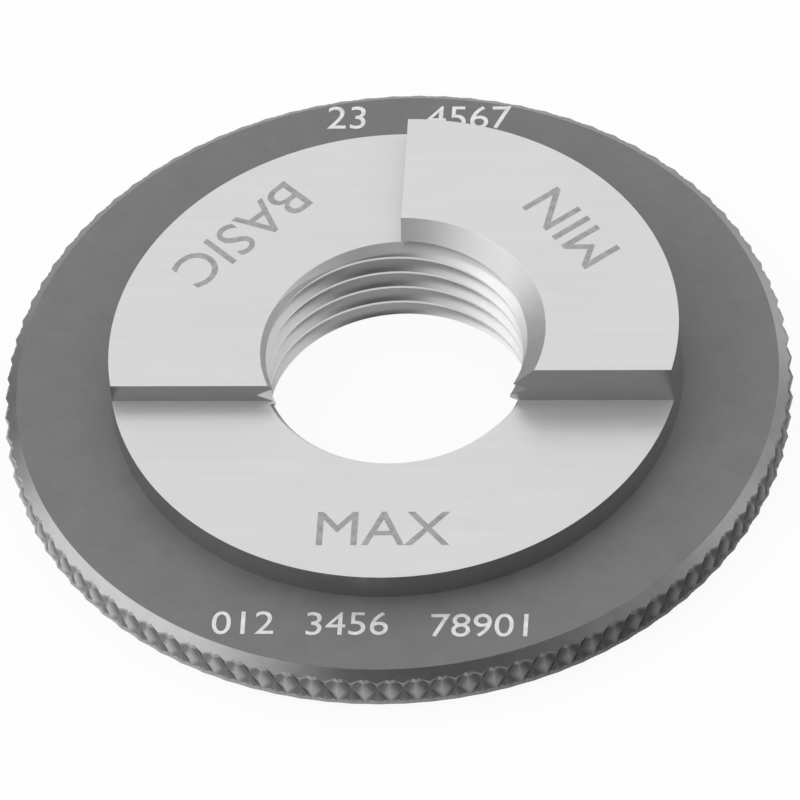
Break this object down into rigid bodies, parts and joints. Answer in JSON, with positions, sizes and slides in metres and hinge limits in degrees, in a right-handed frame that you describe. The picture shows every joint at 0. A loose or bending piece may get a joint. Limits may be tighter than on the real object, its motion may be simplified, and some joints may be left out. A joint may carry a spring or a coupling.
{
  "type": "stepped taper thread ring gauge",
  "caption": "Ring gauge with a knurled flange and a hub stepped to three landings, around a tapered right-hand screw thread for checking pipe ends.",
  "frame": {"origin": "centre of the bore on the foot face of the flange", "axes": "+Z along the bore axis, from the foot towards the landings; -Y points from the axis towards the low landing, so the high landing lies towards +X +Y"},
  "size_m": [0.063, 0.063, 0.0099],
  "materials": {
    "gauge_steel": "ground bright on the hub, blackened on the flange"
  },
  "bodies": {
    "root": {"ring_gauge": "gauge_steel"}
  },
  "joints": []
}
